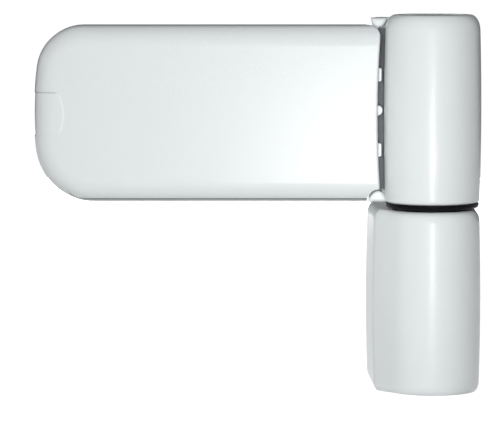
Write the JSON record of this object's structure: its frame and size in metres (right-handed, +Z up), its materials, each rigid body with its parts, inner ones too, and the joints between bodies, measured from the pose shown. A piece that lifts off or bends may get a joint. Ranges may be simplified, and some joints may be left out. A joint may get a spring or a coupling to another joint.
{
  "type": "flag hinge",
  "caption": "Adjustable door flag hinge: stacked barrelled knuckles on a pin, a covered flag for the sash and a screwed frame bracket.",
  "frame": {"origin": "on the back face of the frame plate, level with the middle of the lower knuckle and straight behind the pin", "axes": "+X along the wall away from the flag, +Y into the wall out of the back of the frame plate, +Z up along the pin"},
  "size_m": [0.1112, 0.0391, 0.0939],
  "materials": {
    "coated_casting": "gloss white powder coat on a zinc casting",
    "cover_plastic": "gloss white moulded plastic",
    "bush_plastic": "satin black bearing plastic",
    "pin_steel": "ground bright steel",
    "plated_steel": "zinc plated steel",
    "screw_steel": "blackened screw steel",
    "nut_brass": "machined brass"
  },
  "bodies": {
    "frame": {"frame_plate": "plated_steel", "frame_bracket": "coated_casting", "bracket_screws": "screw_steel", "pin_lock_screw": "screw_steel", "lower_bush": "bush_plastic", "bottom_cap": "cover_plastic"},
    "pin": {"hinge_pin": "pin_steel"},
    "height_adjuster": {"height_screw": "screw_steel"},
    "door_leaf": {"flag_casting": "coated_casting", "upper_bush": "bush_plastic", "thrust_pad": "nut_brass", "top_cap": "cover_plastic", "keeper_screw": "screw_steel", "flag_cover": "cover_plastic", "screw_clip": "pin_steel"},
    "sash_side": {"sash_plate": "plated_steel", "clamp_screws": "screw_steel", "clamp_washers": "plated_steel", "adjuster_nut": "nut_brass"},
    "side_adjuster": {"side_screw": "screw_steel"}
  },
  "joints": [
    {"name": "height_lift", "type": "slide", "parent": "frame", "child": "pin", "axis": [0, 0, 1], "range_m": [0, 0.004]},
    {"name": "height_screw_turn", "type": "hinge", "parent": "pin", "child": "height_adjuster", "pos_m": [0, -0.027, -0.009], "axis": [0, 0, 1], "range_deg": [-1, 961]},
    {"name": "door_swing", "type": "hinge", "parent": "pin", "child": "door_leaf", "pos_m": [0, -0.027, 0.0237], "axis": [0, 0, 1], "range_deg": [0, 180]},
    {"name": "side_slide", "type": "slide", "parent": "door_leaf", "child": "sash_side", "axis": [1, 0, 0], "range_m": [-0.003, 0.003]},
    {"name": "side_screw_turn", "type": "hinge", "parent": "door_leaf", "child": "side_adjuster", "pos_m": [-0.07, -0.0241, 0.0465], "axis": [1, 0, 0], "range_deg": [-1351, 1351]}
  ],
  "couplings": [
    {"joint": "height_screw_turn", "follows": "height_lift", "rad_per_m": 4188.8},
    {"joint": "side_screw_turn", "follows": "side_slide", "rad_per_m": -7854}
  ]
}
